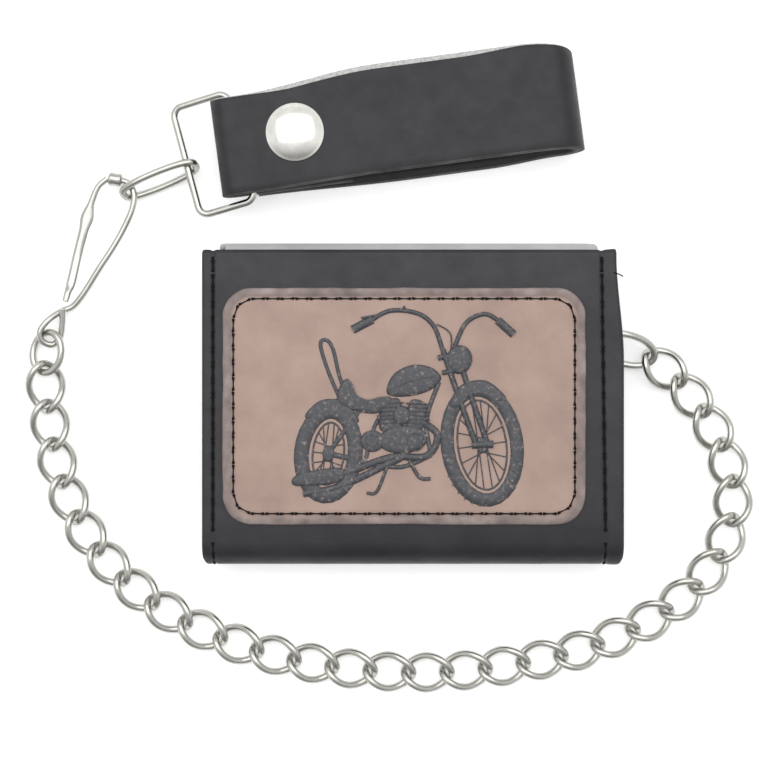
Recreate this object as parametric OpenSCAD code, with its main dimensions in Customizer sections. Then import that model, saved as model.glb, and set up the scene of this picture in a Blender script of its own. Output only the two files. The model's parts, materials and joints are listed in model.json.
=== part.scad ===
// Trifold chain wallet: a folded leather wallet with an appliqued patch, a curb
// chain, a spring hook and a belt strap with a snap. Lies flat on z = 0.
// X runs to the wallet's right, Y to its top fold, Z up. Millimetres.

/* [Wallet] */
// Width of the closed wallet, side to side
wallet_w = 108; // [90:0.5:130]
// Depth of the closed wallet, bottom fold to top fold
wallet_d = 81.6; // [70:0.1:100]
// Thickness of the outer leather
leather_t = 1.4; // [0.8:0.1:2.4]
// Height of the stitched margin of the outer flap above the table
margin_z = 3.6; // [3.4:0.1:5]
// Outer radius of the bottom fold
bottom_fold_r = 6.1; // [4:0.1:8]
// Outer radius of the top fold
top_fold_r = 4.4; // [3:0.1:6]
// Length of the inner flap below the top fold
inner_flap_len = 52; // [40:1:58]

/* [Patch] */
// Patch size across
patch_w = 92.7; // [60:0.1:100]
// Patch size up
patch_d = 60.4; // [40:0.1:70]
// Patch thickness
patch_t = 1.2; // [0.6:0.1:2]
// Patch corner radius
patch_r = 7.5; // [2:0.5:12]
// Distance from one stitch to the next
stitch_pitch = 3.75; // [2:0.05:6]

/* [Chain] */
// Wire diameter of the chain
wire = 1.9; // [1.4:0.1:2.4]
// Distance from one link to the next
pitch = 10.08; // [8:0.01:13]
// Overall width of a link
link_w = 10.65; // [8:0.05:13]
// Play between two links along the chain
slack = 0.5; // [0.3:0.05:0.8]
// Twist of a link from end to end
link_twist = 90; // [60:1:100]

/* [Strap] */
// Strap width
strap_w = 25.4; // [18:0.1:40]
// Strap length, folded
strap_len = 94.9; // [70:0.1:130]
// Strap leather thickness
strap_t = 2.8; // [2:0.1:4]
// Height of the folded strap
strap_h = 13; // [10:0.1:18]
// Length of the tab turned back round the loop
tab_len = 34; // [26:1:45]
// Diameter of the snap cap
cap_d = 15.1; // [10:0.1:18]

/* [Output] */
// Sub-part to draw

/* [Hidden] */
links = 29;
link_names = [for (i = [1:links]) str("link_", i < 10 ? "0" : "", i)];

leather_c = [0.09, 0.09, 0.10];
lining_c = [0.13, 0.13, 0.14];
tan_c = [0.55, 0.40, 0.32];
print_c = [0.10, 0.10, 0.12];
thread_c = [0.03, 0.03, 0.03];
nickel_c = [0.75, 0.74, 0.72];
clear_c = [0.80, 0.85, 0.88, 0.35];

// wallet levels
half_w = wallet_w / 2;
half_d = wallet_d / 2;
margin_top = margin_z + leather_t;
front_z = margin_z + 2 * bottom_fold_r;
front_low = front_z - leather_t;
bottom_y = -half_d + bottom_fold_r;
bottom_z = margin_z + bottom_fold_r;
top_y = half_d - top_fold_r;
top_z = front_z - top_fold_r;
inner_z = front_z - 2 * top_fold_r;
inner_top = inner_z + leather_t;
flap_x1 = 53;
core_x1 = 41;
patch_x = -2.3;
patch_y = 0.1;

// grommet and attachment ring
grommet_x = 47.6;
grommet_y = 17.2;
hole_r = 3.4;
barrel_r = 3.85;
flange_r = 5.1;
flange_t = 0.4;
half_gap = (wire + slack) / 2;
ring_half = 4.6;
ring_turns = [46, 26];

// chain: where it leaves the ring, and its right turn from each link to the next
link_z = 2.6;
half_len = (pitch + wire + slack) / 2;
half_wid = (link_w - wire) / 2;
first_pivot = [62.2, 13, link_z];
first_heading = -40;
turns = [11, 10, 12, 18, 18, 18, 14, 10, 6, 6, 6, 3, 3, 4,
  4, 3, 4, 4, 5, 5, 7, 8, 9, 10, 10, 8, 6, 3];

// strap frame
strap_x0 = -50.89;
strap_y0 = 66.55;
strap_heading = 7.62;
fold_in = wire / 2 + 0.35;
fold_out = fold_in + strap_t;
bar_z = strap_h - fold_out;
bend_r = strap_h / 2;
bend_x = strap_len - bend_r;
bend_gap = 0.05;
snap_x = 20.9;
snap_y = 1.2;
tab_low = strap_h - 2 * fold_out;

// ---- helpers ----
function unit(v) = v / norm(v);
function next_of(p, i) = p[(i + 1) % len(p)];
function prev_of(p, i) = p[(i + len(p) - 1) % len(p)];
function loop_tangent(p, i) = unit(next_of(p, i) - prev_of(p, i));
function side_of(t, ref) = unit(ref - (ref * t) * t);
function ring_at(c, t, ref, r, n) =
  let (u = side_of(t, ref), v = cross(t, u))
  [for (k = [0:n - 1]) c + r * (cos(360 * k / n) * u + sin(360 * k / n) * v)];
function quads(m, n, closed) = [
  for (i = [0:m - (closed ? 1 : 2)])
    for (k = [0:n - 1])
      let (j = (i + 1) % m, q = (k + 1) % n)
      each [[i * n + k, j * n + q, i * n + q], [i * n + k, j * n + k, j * n + q]]];

// closed wire along a loop of points round a centre
module wire_loop(p, centre, d, n = 8) {
  m = len(p);
  rings = [for (i = [0:m - 1])
    each ring_at(p[i], loop_tangent(p, i), p[i] - centre, d / 2, n)];
  polyhedron(rings, quads(m, n, true), convexity = 6);
}

// open wire along a path; size is a list of [across, up] radii, one per point
module wire_path(p, size, n = 8) {
  m = len(p);
  tang = [for (i = [0:m - 1]) unit(p[min(i + 1, m - 1)] - p[max(i - 1, 0)])];
  up = [0, 0, 1];
  rings = [for (i = [0:m - 1])
    let (s = unit(cross(up, tang[i])), w = cross(tang[i], s))
    for (k = [0:n - 1])
      p[i] + size[i][0] * cos(360 * k / n) * s + size[i][1] * sin(360 * k / n) * w];
  ends = [[for (k = [0:n - 1]) k], [for (k = [n - 1:-1:0]) (m - 1) * n + k]];
  polyhedron(rings, concat(quads(m, n, false), ends), convexity = 6);
}

// Catmull-Rom curve through a list of points
function spline(p, steps) =
  let (m = len(p) - 1)
  concat([for (i = [0:m - 1])
    let (a = p[max(i - 1, 0)], b = p[i], c = p[i + 1], d = p[min(i + 2, m)])
    for (k = [0:steps - 1])
      let (t = k / steps)
      0.5 * (2 * b + (c - a) * t + (2 * a - 5 * b + 4 * c - d) * t * t
        + (3 * b - a - 3 * c + d) * t * t * t)], [p[m]]);

module rounded(x0, y0, x1, y1, r) {
  translate([x0 + r, y0])
    square([x1 - x0 - 2 * r, y1 - y0]);
  translate([x0, y0 + r])
    square([x1 - x0, y1 - y0 - 2 * r]);
  for (x = [x0 + r, x1 - r])
    for (y = [y0 + r, y1 - r])
      translate([x, y])
        circle(r, $fn = 48);
}

module slab(x0, y0, x1, y1, z0, z1, r = 3) {
  translate([0, 0, z0])
    linear_extrude(z1 - z0)
      rounded(x0, y0, x1, y1, r);
}

// a card pocket: a sheet with a shallow slot under it, open at the upper edge
module pocket(x0, y0, x1, y1, z0, z1) {
  difference() {
    slab(x0, y0, x1, y1, z0, z1, 2);
    translate([x0 + 4, y0 + 4, z0 - 1])
      cube([x1 - x0 - 8, y1 - y0, 1.3]);
  }
}

module half_tube(r_out, r_in, x0, x1) {
  translate([x0, 0, 0])
    rotate([90, 0, 90])
      linear_extrude(x1 - x0)
        intersection() {
          difference() {
            circle(r_out, $fn = 96);
            circle(r_in, $fn = 96);
          }
          translate([0, -r_out - 1])
            square([r_out + 1, 2 * r_out + 2]);
        }
}

// ---- wallet ----
module outer_flap() {
  color(leather_c)
    difference() {
      union() {
        slab(-52.5, bottom_y, flap_x1, 38, margin_z, margin_top);
        slab(-46, bottom_y + 5, core_x1 - 1, 33, 0, margin_z, 5);
      }
      translate([grommet_x, grommet_y, -1])
        cylinder(h = 10, r = barrel_r + 0.05, $fn = 64);
    }
}

module outer_pocket_back() {
  color(lining_c)
    pocket(-50, bottom_y + 4, core_x1, 24, margin_top, margin_top + 0.7);
}

module outer_pocket_front() {
  color(lining_c)
    pocket(-50, bottom_y + 4, core_x1, 8, margin_top + 0.7, margin_top + 1.4);
}

module grommet() {
  color(nickel_c)
    translate([grommet_x, grommet_y, 0])
      rotate_extrude($fn = 96)
        polygon([[barrel_r - 0.1, margin_z - flange_t], [barrel_r, margin_z - flange_t],
          [barrel_r, margin_top], [flange_r, margin_top],
          [flange_r - 0.2, margin_top + flange_t], [hole_r + 0.55, margin_top + flange_t],
          [hole_r, margin_top], [hole_r, margin_z]]);
}

module grommet_washer() {
  color(nickel_c)
    translate([grommet_x, grommet_y, margin_z - flange_t])
      difference() {
        cylinder(h = flange_t, r = flange_r, $fn = 96);
        translate([0, 0, -1])
          cylinder(h = 3, r = barrel_r + 0.05, $fn = 96);
      }
}

module bottom_fold() {
  color(leather_c)
    translate([0, bottom_y, bottom_z])
      mirror([0, 1, 0])
        half_tube(bottom_fold_r, bottom_fold_r - leather_t, -52.5, flap_x1);
}

module middle_panel() {
  color(leather_c)
    translate([-half_w, bottom_y, front_low])
      cube([wallet_w, top_y - bottom_y, leather_t]);
}

module bill_divider() {
  color(lining_c)
    slab(-50, bottom_y + 4, half_w - 2.6, top_y - 1, front_low - 1.4, front_low - 0.7);
}

module middle_lining() {
  color(lining_c)
    union() {
      slab(-half_w + 0.5, bottom_y + 4, half_w - 2.3, top_y - 1, front_low - 2.8,
        front_low - 2);
      translate([-half_w + 0.5, bottom_y + 6, front_low - 2.1])
        cube([3.2, top_y - bottom_y - 10, 2.1]);
    }
}

module middle_pocket() {
  color(lining_c)
    pocket(-50, bottom_y + 5, core_x1 + 4, 20, front_low - 3.5, front_low - 2.8);
}

// a row of thread stitches from one point to the other on level z
module stitch_row(x0, y0, x1, y1, z) {
  run = norm([x1 - x0, y1 - y0]);
  count = floor(run / stitch_pitch);
  step = run / count;
  for (i = [0:count - 1])
    translate([x0, y0, z])
      rotate([0, 0, atan2(y1 - y0, x1 - x0)])
        translate([step * (i + 0.16), -0.3, 0])
          cube([step * 0.68, 0.6, 0.3]);
}

module side_stitching() {
  color(thread_c)
    for (x = [-51.2, 49])
      stitch_row(x, bottom_y + 1, x, top_y - 1, front_z);
}

module patch() {
  color(tan_c)
    translate([patch_x, patch_y, 0])
      slab(-patch_w / 2, -patch_d / 2, patch_w / 2, patch_d / 2, front_z,
        front_z + patch_t, patch_r);
}

module patch_stitching() {
  x = patch_w / 2 - 2.6;
  y = patch_d / 2 - 2.3;
  c = 4;
  z = front_z + patch_t;
  corners = [[-x + c, y], [x - c, y], [x, y - c], [x, -y + c],
    [x - c, -y], [-x + c, -y], [-x, -y + c], [-x, y - c]];
  color(thread_c)
    translate([patch_x, patch_y, 0])
      for (i = [0:7])
        stitch_row(corners[i][0], corners[i][1], next_of(corners, i)[0],
          next_of(corners, i)[1], z);
}

// flat bar of the print between two points
module bar(a, b, w) {
  translate(a)
    rotate(atan2(b[1] - a[1], b[0] - a[0]))
      translate([-w / 2, -w / 2])
        square([norm(b - a) + w, w]);
}

module oval_hoop(c, rx, ry, w) {
  translate(c)
    difference() {
      scale([1, ry / rx])
        circle(rx, $fn = 40);
      scale([1, (ry - w) / (rx - w)])
        circle(rx - w, $fn = 40);
    }
}

module motorcycle_print() {
  color(print_c)
    translate([0, 0, front_z + patch_t])
      linear_extrude(0.3) {
        oval_hoop([-22.5, -12], 7.5, 11, 2.6);
        oval_hoop([18, -9.5], 9.5, 14, 2.4);
        bar([-22.5, -12], [-8, -13], 2);
        bar([-8, -15], [8, -13], 3.4);
        bar([-6, -10], [5, -1], 6);
        bar([-13, -2], [-6, -11], 1.6);
        bar([18, -9.5], [8, 15], 1.6);
        bar([15, -9.5], [5, 14], 1.4);
        bar([-17, -1], [-5, 0], 3.4);
        bar([-7, 4], [6, 7], 5);
        bar([-18, -1], [-24, 12], 1.2);
        bar([8, 15], [-6, 22], 1.1);
        bar([-6, 22], [-13, 18], 1.5);
        bar([8, 15], [20, 21], 1.1);
        bar([20, 21], [25, 16], 1.5);
        bar([-24, -19], [4, -18], 2.2);
        translate([9, 11])
          circle(3.4, $fn = 32);
      }
}

module top_fold() {
  color(leather_c)
    translate([0, top_y, top_z])
      half_tube(top_fold_r, top_fold_r - leather_t, -50, half_w - 6);
}

module inner_flap() {
  color(leather_c)
    slab(-50, top_y - inner_flap_len, core_x1, top_y, inner_z, inner_top, 0.5);
}

module id_window_frame() {
  color(lining_c)
    difference() {
      slab(-47, top_y - inner_flap_len + 2, core_x1 - 3, top_y - 4, inner_top,
        inner_top + 1.2, 2);
      translate([-39, top_y - inner_flap_len + 8, inner_top - 1])
        cube([core_x1 + 28, inner_flap_len - 18, 4]);
    }
}

module id_window() {
  color(clear_c)
    translate([-38.9, top_y - inner_flap_len + 8.1, inner_top + 0.1])
      cube([core_x1 + 27.8, inner_flap_len - 18.2, 0.4]);
}

// ---- rings and chain ----
// oval wire loop from a to b, its plane turned about its length by turn[0] at a and
// turn[1] at b; a full below 1 makes the ends blunter
module oval_wire(a, b, half, turn, full = 1) {
  n = 28;
  mid = (a + b) / 2;
  u = unit(b - a);
  side = unit(cross([0, 0, 1], u));
  up = cross(u, side);
  long = norm(b - a) / 2;
  pts = [for (i = [0:n - 1])
    let (t = 360 * (i + 0.5) / n, tilt = turn[0] + (turn[1] - turn[0]) * (cos(t) + 1) / 2,
      y = half * sign(sin(t)) * pow(abs(sin(t)), full))
    mid + long * cos(t) * u + y * (cos(tilt) * side + sin(tilt) * up)];
  wire_loop(pts, mid, wire);
}

// the route: heading of each link, and the pivot where it starts
function heading(i) = i == 0 ? first_heading : heading(i - 1) - turns[i - 1];
function along(i) = [cos(heading(i)), sin(heading(i)), 0];
function pivot(i) = i == 0 ? first_pivot : pivot(i - 1) + pitch * along(i - 1);
last_pivot = pivot(links);

module attach_ring() {
  hole = [grommet_x, grommet_y, margin_z + leather_t / 2];
  flat = unit([first_pivot[0] - grommet_x, first_pivot[1] - grommet_y, 0]);
  color(nickel_c)
    oval_wire(hole - 0.4 * flat + [0, 0, 0.6], first_pivot + half_gap * flat + [0, 0, 0.3],
      ring_half, ring_turns);
}

module curb_link(i) {
  n = 24;
  pts = [for (k = [0:n - 1])
    let (t = 360 * k / n, x = half_len * cos(t), y = half_wid * sin(t),
      turn = link_twist / 2 * x / half_len)
    [x, y * cos(turn), y * sin(turn)]];
  color(nickel_c)
    translate(pivot(i) + along(i) * pitch / 2)
      rotate([0, 0, heading(i)])
        wire_loop(pts, [0, 0, 0], wire);
}

// ---- hook ----
eye_point = [-95.2, 17.2, 2.9];
end_half = 4.3;
end_turns = [-20, -26];
hook_z = 2.6;
hook_end_z = 3.6;
ring_play = 0.25;
hold_gap = wire + ring_play;

module end_ring() {
  u = unit(eye_point - last_pivot);
  color(nickel_c)
    oval_wire(last_pivot - half_gap * u, eye_point + hold_gap * u, end_half, end_turns);
}

// eye loop, then the long wire arm up to the collar
hook_line = [
  [-91.6, 25.4, 3.4], [-91.9, 21.2, 2.4], [-92.6, 18, 1.9], [-94.4, 16.1, 2.4],
  [-96.9, 17, 3.4], [-97.4, 19.6, 4], [-95.2, 22.6, 3.6], [-92.1, 24.9, 1.9],
  [-89.2, 26.2, 1.6], [-86.3, 29.6, 2], [-81.9, 36.4, 2.7], [-78.4, 41.7, 2.9],
  [-75.4, 47, 3.1], [-73.4, 51.6, 3.4], [-72.9, 55.4, hook_end_z],
  [-74.2, 58.2, hook_end_z], [-76.4, 59.1, hook_end_z]];

module hook_body() {
  pts = spline(hook_line, 3);
  color(nickel_c)
    wire_path(pts, [for (p = pts) [0.85, 0.85]]);
}

// pressed collar that holds the end of the gate
module hook_collar() {
  color(nickel_c)
    translate([-76.8, 59.1, hook_end_z])
      rotate([0, 0, 172])
        difference() {
          rotate([0, 90, 0])
            cylinder(h = 3.6, r = 1.9, $fn = 32);
          translate([-1, 0, 0])
            rotate([0, 90, 0])
              cylinder(h = 2, r = 0.8, $fn = 32);
          translate([0.9, -3, -1.3])
            cube([4, 6, 2.6]);
        }
}

gate_line = [
  [-90.7, 27.4, 4.6], [-90.2, 29.6, 4], [-89.4, 32.6, 3], [-87.9, 39.5, hook_z],
  [-86.3, 45.6, 2.9], [-85.3, 49.3, 3], [-84, 53.6, 3.2],
  [-82.3, 57.4, 3.5], [-79.9, 59.5, hook_end_z]];
gate_size = [[0.8, 0.5], [0.9, 0.6], [1.2, 0.6], [1.2, 0.6], [1.25, 0.6], [1.7, 0.6],
  [0.9, 0.7], [0.8, 0.7], [0.8, 0.7]];

module hook_gate() {
  steps = 3;
  pts = spline(gate_line, steps);
  size = [for (i = [0:len(pts) - 1])
    let (k = min(floor(i / steps), len(gate_size) - 2), f = i / steps - k)
    gate_size[k] * (1 - f) + gate_size[k + 1] * f];
  color(nickel_c)
    wire_path(pts, size);
}

// ---- loop ----
corner = [-73.6, 56.2, hook_end_z];
loop_turn = 15;
loop_far = [-59.2, 64.1, 4.9];
loop_near = [-44.45, 67.4, bar_z];
loop_len = 28.9;
bar_dir = [-sin(loop_turn), cos(loop_turn), 0];
loop_hold = loop_far - 2 * bar_dir;

module oval_link() {
  u = unit(loop_hold - corner);
  color(nickel_c)
    oval_wire(corner - hold_gap * u, loop_hold + hold_gap * u, 3.4, [60, 60], 0.6);
}

module strap_loop() {
  across = loop_near - loop_far;
  flat = across - (across * bar_dir) * bar_dir;
  u = unit(flat);
  depth = norm(flat);
  a = loop_near - depth * u;
  r = 2.6;
  l = loop_len / 2;
  arc = [0, 30, 60, 90];
  corners = [[depth - r, l - r, 0], [r, l - r, 90], [r, -l + r, 180],
    [depth - r, -l + r, 270]];
  pts = [for (c = corners)
    for (t = arc)
      a + (c[0] + r * cos(t + c[2])) * u + (c[1] + r * sin(t + c[2])) * bar_dir];
  color(nickel_c)
    wire_loop(pts, a + depth / 2 * u, wire);
}

// ---- strap ----
module on_strap() {
  translate([strap_x0, strap_y0, 0])
    rotate([0, 0, strap_heading])
      children();
}

// extrude a side profile (x along the strap, y up) across the strap
module across_strap() {
  on_strap()
    translate([0, strap_w / 2, 0])
      rotate([90, 0, 0])
        linear_extrude(strap_w)
          children();
}

module snap_bore(r, z0, z1) {
  on_strap()
    translate([snap_x, snap_y, z0])
      cylinder(h = z1 - z0, r = r, $fn = 48);
}

module strap_front() {
  color(leather_c)
    difference() {
      across_strap() {
        translate([fold_out, strap_h - strap_t])
          square([bend_x - fold_out - bend_gap, strap_t]);
        translate([fold_out, tab_low])
          square([tab_len - fold_out, strap_t]);
        intersection() {
          translate([fold_out, strap_h - fold_out])
            difference() {
              circle(fold_out, $fn = 64);
              circle(fold_in, $fn = 64);
            }
          translate([-1, 0])
            square([fold_out + 1, strap_h + 1]);
        }
      }
      snap_bore(1.5, 0, strap_h + 1);
    }
}

module strap_fold() {
  color(leather_c)
    across_strap()
      translate([bend_x, bend_r])
        difference() {
          circle(bend_r, $fn = 96);
          circle(bend_r - strap_t, $fn = 96);
          translate([-bend_r - 1, -bend_r - 1])
            square([bend_r + 1, 2 * bend_r + 2]);
        }
}

module strap_back() {
  color(leather_c)
    difference() {
      across_strap()
        translate([9, 0])
          square([bend_x - 9 - bend_gap, strap_t]);
      snap_bore(1.5, -1, strap_t + 1);
    }
}

module snap_cap() {
  r = cap_d / 2;
  h = 2.6;
  sphere_r = (r * r + h * h) / (2 * h);
  color(nickel_c)
    on_strap()
      translate([snap_x, snap_y, strap_h])
        rotate_extrude($fn = 96) {
          intersection() {
            translate([0, h - sphere_r])
              circle(sphere_r, $fn = 200);
            square([r, h]);
          }
          translate([0, -strap_t - 2.3])
            square([1.4, strap_t + 2.4]);
        }
}

module snap_socket() {
  z = tab_low;
  color(nickel_c)
    on_strap()
      translate([snap_x, snap_y, z - 1.7])
        difference() {
          union() {
            cylinder(h = 1.7, r = 5.6, $fn = 72);
            translate([0, 0, 1.7])
              cylinder(h = strap_t + 0.6, r = 1.45, $fn = 32);
          }
          translate([0, 0, -1])
            cylinder(h = 2.3, r = 3.2, $fn = 48);
        }
}

module snap_stud() {
  color(nickel_c)
    on_strap()
      translate([snap_x, snap_y, 0])
        union() {
          translate([0, 0, strap_t])
            cylinder(h = 0.25, r = 5, $fn = 72);
          translate([0, 0, strap_t])
            cylinder(h = 1.2, r = 2.7, $fn = 48);
          translate([0, 0, 0])
            cylinder(h = strap_t + 0.2, r = 1.4, $fn = 32);
        }
}

// ---- drawn sub-parts ----
outer_flap();
outer_pocket_back();
outer_pocket_front();
grommet();
grommet_washer();
bottom_fold();
middle_panel();
bill_divider();
middle_lining();
middle_pocket();
side_stitching();
patch();
patch_stitching();
motorcycle_print();
top_fold();
inner_flap();
id_window_frame();
id_window();
attach_ring();
for (i = [1:links])
  curb_link(i - 1);
end_ring();
hook_body();
hook_collar();
hook_gate();
oval_link();
strap_loop();
strap_front();
strap_fold();
strap_back();
snap_cap();
snap_socket();
snap_stud();
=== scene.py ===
"""Looks of a trifold chain wallet: leather, stitching, patch, chain, hook and belt strap.

Lengths are in millimetres until mesh_object() turns them into metres.
"""

import json
import random
from math import copysign, cos, exp, hypot, pi, radians, sin, sqrt

import bmesh
import bpy
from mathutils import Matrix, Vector


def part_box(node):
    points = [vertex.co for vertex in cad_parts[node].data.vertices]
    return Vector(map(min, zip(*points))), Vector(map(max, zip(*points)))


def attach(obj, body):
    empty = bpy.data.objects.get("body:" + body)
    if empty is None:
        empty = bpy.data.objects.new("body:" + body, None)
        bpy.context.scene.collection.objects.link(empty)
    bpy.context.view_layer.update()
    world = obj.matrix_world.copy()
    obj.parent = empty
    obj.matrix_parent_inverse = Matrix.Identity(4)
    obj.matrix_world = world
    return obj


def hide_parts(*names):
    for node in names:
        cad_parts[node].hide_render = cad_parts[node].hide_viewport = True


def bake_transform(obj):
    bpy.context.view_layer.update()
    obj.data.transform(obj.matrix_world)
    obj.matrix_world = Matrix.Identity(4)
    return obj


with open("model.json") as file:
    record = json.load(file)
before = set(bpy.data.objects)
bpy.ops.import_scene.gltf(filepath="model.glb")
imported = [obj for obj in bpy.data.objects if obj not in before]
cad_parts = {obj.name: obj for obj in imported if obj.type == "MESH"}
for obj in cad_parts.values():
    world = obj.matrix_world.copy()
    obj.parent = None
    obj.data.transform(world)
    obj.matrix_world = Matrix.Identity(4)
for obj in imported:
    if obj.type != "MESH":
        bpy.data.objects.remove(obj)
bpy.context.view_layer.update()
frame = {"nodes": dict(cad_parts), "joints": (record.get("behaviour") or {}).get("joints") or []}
dice = random.Random(7)
MM = 0.001
TAU = 2 * pi
UP = Vector((0, 0, 1))
PIVOT = {j["name"]: Vector(j["pos_m"]) / MM for j in frame["joints"] if "pos_m" in j}


def low(node):
    """Lowest corner of a CAD node, in millimetres."""
    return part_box(node)[0] / MM


def high(node):
    """Highest corner of a CAD node, in millimetres."""
    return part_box(node)[1] / MM


# --- materials


def connect(socket, value):
    """Links value to an input where it is another node's output, or sets it."""
    if isinstance(value, bpy.types.NodeSocket):
        socket.id_data.links.new(value, socket)
    else:
        socket.default_value = value


def new_material(name):
    """A material, its object coordinates, a helper that adds nodes and one for the shader."""
    material = bpy.data.materials.new(name)
    material.use_nodes = True
    tree = material.node_tree

    def feed(node, inputs):
        for key, value in inputs.items():
            connect(node.inputs[key.replace("_", " ")], value)
        return node

    def add(kind, **inputs):
        return feed(tree.nodes.new("ShaderNode" + kind), inputs)

    def look(**inputs):
        feed(tree.nodes["Principled BSDF"], inputs)

    return material, add("TexCoord").outputs["Object"], add, look


def noise(add, coords, scale, detail=3, rough=0.5):
    node = add("TexNoise", Vector=coords, Scale=scale, Detail=detail, Roughness=rough)
    return node.outputs["Fac"]


def ramp(add, factor, stops):
    node = add("ValToRGB", Fac=factor)
    elements = node.color_ramp.elements
    while len(elements) < len(stops):
        elements.new(0.5)
    for element, (place, colour) in zip(elements, stops):
        element.position = place
        element.color = (*colour, 1)
    return node.outputs["Color"]


def grey(v):
    return (v, v, v)


def bump(add, height, distance, strength, below=None):
    node = add("Bump", Height=height, Distance=distance, Strength=strength)
    if below is not None:
        connect(node.inputs["Normal"], below)
    return node.outputs["Normal"]


def leather(name, dark, light, rough, grain=0.00005, coat=0, pores=1400):
    """Grained leather: mottled colour, pores, fine wrinkles and uneven gloss."""
    material, coords, add, look = new_material(name)
    cells = add("TexVoronoi", Vector=coords, Scale=pores)
    cells.feature = "SMOOTH_F1"
    fine = bump(add, cells.outputs["Distance"], grain, 0.55)
    gloss = [(0.3, grey(rough - 0.07)), (0.7, grey(rough + 0.09))]
    look(
        Base_Color=ramp(add, noise(add, coords, 90, 5, 0.6), [(0.3, dark), (0.72, light)]),
        Normal=bump(add, noise(add, coords, 420, 6, 0.62), grain * 2.2, 0.5, fine),
        Roughness=ramp(add, noise(add, coords, 260, 4), gloss),
        Coat_Weight=coat,
        Coat_Roughness=0.3,
        Specular_IOR_Level=0.28,
    )
    return material


def metal(name, colour, rough):
    """Plated wire: bright, with faint draw marks and patches of wear."""
    material, coords, add, look = new_material(name)
    shade = tuple(c * 0.86 for c in colour)
    wear = [(0.35, grey(rough)), (0.8, grey(rough + 0.1))]
    look(
        Base_Color=ramp(add, noise(add, coords, 240, 4, 0.6), [(0.3, shade), (0.6, colour)]),
        Roughness=ramp(add, noise(add, coords, 520, 5, 0.7), wear),
        Normal=bump(add, noise(add, coords, 1500, 3), 0.00001, 0.35),
        Metallic=1,
    )
    return material


def thread_material():
    """Waxed thread: a twisted lay, nearly black and dull."""
    material, coords, add, look = new_material("black_thread")
    lay = add("TexWave", Vector=coords, Scale=900, Distortion=2)
    lay.bands_direction = "DIAGONAL"
    stops = [(0.2, (0.006, 0.005, 0.006)), (0.9, (0.0114, 0.0095, 0.0114))]
    look(
        Base_Color=ramp(add, lay.outputs["Fac"], stops),
        Normal=bump(add, lay.outputs["Fac"], 0.00008, 0.7),
        Roughness=0.75,
        Specular_IOR_Level=0.12,
    )
    return material


def raw_edge_material():
    """Cut edge of the strap: fibrous pale grey leather."""
    material, coords, add, look = new_material("raw_edge")
    fibres = noise(add, coords, 1100, 6, 0.7)
    colour = ramp(add, fibres, [(0.3, (0.27, 0.265, 0.26)), (0.62, (0.5, 0.495, 0.49))])
    look(Base_Color=colour, Normal=bump(add, fibres, 0.0001, 0.8), Roughness=0.85)
    return material


def patch_material():
    """Tan leather, burnished darker towards its edge with rounded corners."""
    material, coords, add, look = new_material("tan_leather")
    radius = PATCH_R * MM

    def maths(operation, a, b=0):
        node = add("Math")
        node.operation = operation
        connect(node.inputs[0], a)
        connect(node.inputs[1], b)
        return node.outputs[0]

    def corner(axis, middle, half):
        """The square of how far a place lies into the corner zone along one axis."""
        off = maths("ABSOLUTE", maths("SUBTRACT", axis, middle * MM))
        inset = maths("SUBTRACT", half * MM, off)
        into = maths("MAXIMUM", maths("SUBTRACT", radius, inset), 0)
        return maths("MULTIPLY", into, into)

    axes = add("SeparateXYZ", Vector=coords).outputs
    corner_x = corner(axes["X"], PATCH_C.x, PATCH_HALF.x)
    corner_y = corner(axes["Y"], PATCH_C.y, PATCH_HALF.y)
    inside = maths("SUBTRACT", radius, maths("SQRT", maths("ADD", corner_x, corner_y)))
    wander = maths("MULTIPLY", maths("SUBTRACT", noise(add, coords, 160, 4), 0.5), 0.0022)
    depth = add("MapRange", Value=maths("ADD", inside, wander), From_Min=0.0015, From_Max=0.0031)
    burnt = [(0.3, (0.13, 0.10, 0.094)), (0.5, (0.2, 0.155, 0.145)), (0.72, (0.29, 0.235, 0.225))]
    tan = [(0.3, (0.28, 0.192, 0.16)), (0.55, (0.345, 0.238, 0.196)), (0.75, (0.375, 0.272, 0.235))]
    mix = add("Mix")
    mix.data_type = "RGBA"
    connect(mix.inputs[0], depth.outputs["Result"])
    connect(mix.inputs[6], ramp(add, noise(add, coords, 200, 5), burnt))
    connect(mix.inputs[7], ramp(add, noise(add, coords, 70, 6, 0.62), tan))
    cells = add("TexVoronoi", Vector=coords, Scale=1600)
    fine = bump(add, cells.outputs["Distance"], 0.00003, 0.5)
    wrinkle = noise(add, coords, 500, 6, 0.65)
    look(Base_Color=mix.outputs[2], Normal=bump(add, wrinkle, 0.0001, 0.5, fine), Roughness=0.55)
    return material


def print_material():
    """Raised slate print, worn through to the tan in small flecks."""
    material, coords, add, look = new_material("slate_print")
    flecks = noise(add, coords, 900, 5, 0.75)
    stops = [(0.5, (0.04, 0.042, 0.05)), (0.6, (0.085, 0.078, 0.08)), (0.68, (0.34, 0.25, 0.21))]
    colour = ramp(add, flecks, stops)
    look(Base_Color=colour, Normal=bump(add, flecks, 0.00008, 0.5), Roughness=0.42)
    return material


def clear_material():
    """Clear vinyl of the identity window, faintly rippled."""
    material, coords, add, look = new_material("clear_vinyl")
    look(
        Base_Color=(0.85, 0.88, 0.9, 1),
        Normal=bump(add, noise(add, coords, 120, 3), 0.0003, 0.2),
        Roughness=0.12,
        Alpha=0.35,
    )
    return material


def floor_material():
    """A pale light table: it glows a little, so shadows stay soft."""
    material, coords, add, look = new_material("pale_floor")
    look(
        Base_Color=ramp(add, noise(add, coords, 6, 2), [(0.3, grey(0.74)), (0.7, grey(0.76))]),
        Roughness=0.9,
        Emission_Color=(1, 1, 1, 1),
        Emission_Strength=0.42,
    )
    return material


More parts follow.
